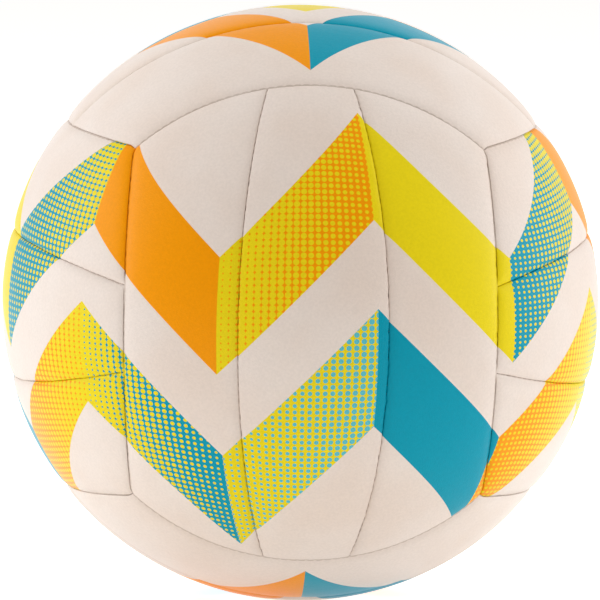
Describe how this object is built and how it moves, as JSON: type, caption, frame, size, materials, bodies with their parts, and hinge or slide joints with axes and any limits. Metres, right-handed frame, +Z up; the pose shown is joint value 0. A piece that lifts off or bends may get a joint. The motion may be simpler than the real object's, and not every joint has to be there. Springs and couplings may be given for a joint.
{
  "type": "volleyball",
  "caption": "Sewn volleyball: strips of padded synthetic leather in crossing groups over an air bladder, with a recessed needle valve.",
  "frame": {"origin": "the ball's centre", "axes": "+Z up, -Y towards the group of panels that the picture shows, +Y out of the valve in the middle of the opposite group"},
  "size_m": [0.213, 0.2129, 0.213],
  "materials": {
    "cover_leather": "satin, with a printed pattern",
    "foam_pad": "matte closed-cell foam",
    "backing_cloth": "woven",
    "sewing_thread": "waxed thread",
    "bladder_rubber": "matte",
    "valve_rubber": "satin",
    "plug_rubber": "matte"
  },
  "bodies": {
    "root": {"front_left_panel": "cover_leather", "front_centre_panel": "cover_leather", "front_right_panel": "cover_leather", "rear_right_panel": "cover_leather", "rear_centre_panel": "cover_leather", "rear_left_panel": "cover_leather", "bottom_front_panel": "cover_leather", "bottom_centre_panel": "cover_leather", "bottom_rear_panel": "cover_leather", "top_rear_panel": "cover_leather", "top_centre_panel": "cover_leather", "top_front_panel": "cover_leather", "left_bottom_panel": "cover_leather", "left_centre_panel": "cover_leather", "left_top_panel": "cover_leather", "right_top_panel": "cover_leather", "right_centre_panel": "cover_leather", "right_bottom_panel": "cover_leather", "front_left_foam": "foam_pad", "front_centre_foam": "foam_pad", "front_right_foam": "foam_pad", "rear_right_foam": "foam_pad", "rear_centre_foam": "foam_pad", "rear_left_foam": "foam_pad", "bottom_front_foam": "foam_pad", "bottom_centre_foam": "foam_pad", "bottom_rear_foam": "foam_pad", "top_rear_foam": "foam_pad", "top_centre_foam": "foam_pad", "top_front_foam": "foam_pad", "left_bottom_foam": "foam_pad", "left_centre_foam": "foam_pad", "left_top_foam": "foam_pad", "right_top_foam": "foam_pad", "right_centre_foam": "foam_pad", "right_bottom_foam": "foam_pad", "front_cloth": "backing_cloth", "rear_cloth": "backing_cloth", "bottom_cloth": "backing_cloth", "top_cloth": "backing_cloth", "left_cloth": "backing_cloth", "right_cloth": "backing_cloth", "front_strip_thread": "sewing_thread", "rear_strip_thread": "sewing_thread", "bottom_strip_thread": "sewing_thread", "top_strip_thread": "sewing_thread", "left_strip_thread": "sewing_thread", "right_strip_thread": "sewing_thread", "upright_edge_thread": "sewing_thread", "crosswise_edge_thread": "sewing_thread", "lengthwise_edge_thread": "sewing_thread", "bladder": "bladder_rubber", "valve_housing": "valve_rubber", "valve_plug": "plug_rubber", "valve_patch": "backing_cloth"}
  },
  "joints": []
}
